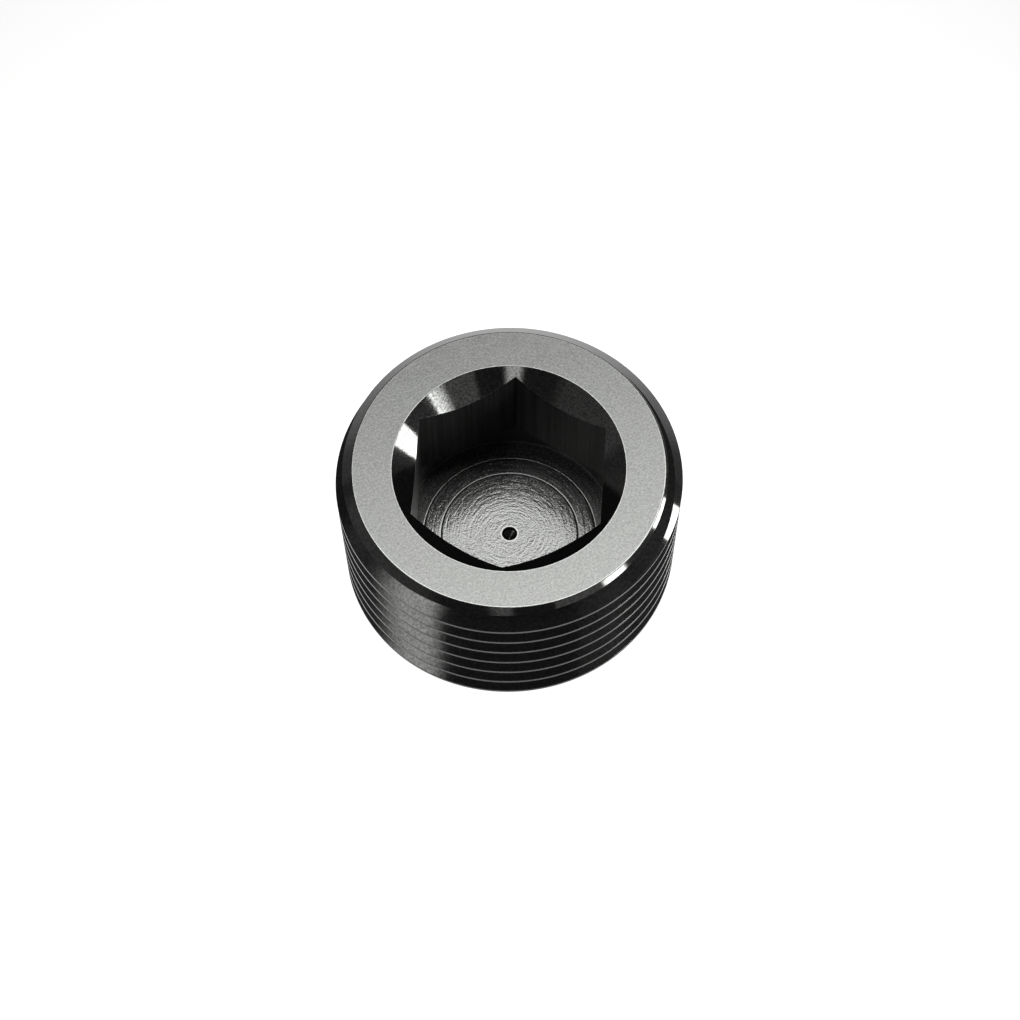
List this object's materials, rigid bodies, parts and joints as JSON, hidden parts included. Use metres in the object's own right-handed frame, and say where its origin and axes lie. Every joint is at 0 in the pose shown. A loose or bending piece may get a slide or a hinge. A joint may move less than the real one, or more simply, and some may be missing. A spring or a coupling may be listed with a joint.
{
  "type": "hex socket taper pipe plug",
  "caption": "Headless taper pipe plug with a right-hand pipe thread, a flat turned top face and a deep countersunk hexagon socket, in black anodised aluminium.",
  "frame": {"origin": "centre of the flat small end, on the thread axis", "axes": "+Z along the thread axis, from the small end up through the mouth of the socket; two flats of the hexagon face +X and -X, two corners lie on +Y and -Y"},
  "size_m": [0.0266, 0.0266, 0.0143],
  "materials": {
    "black_anodised": "black anodised, turned and broached"
  },
  "bodies": {
    "root": {"plug_body": "black_anodised"}
  },
  "joints": []
}
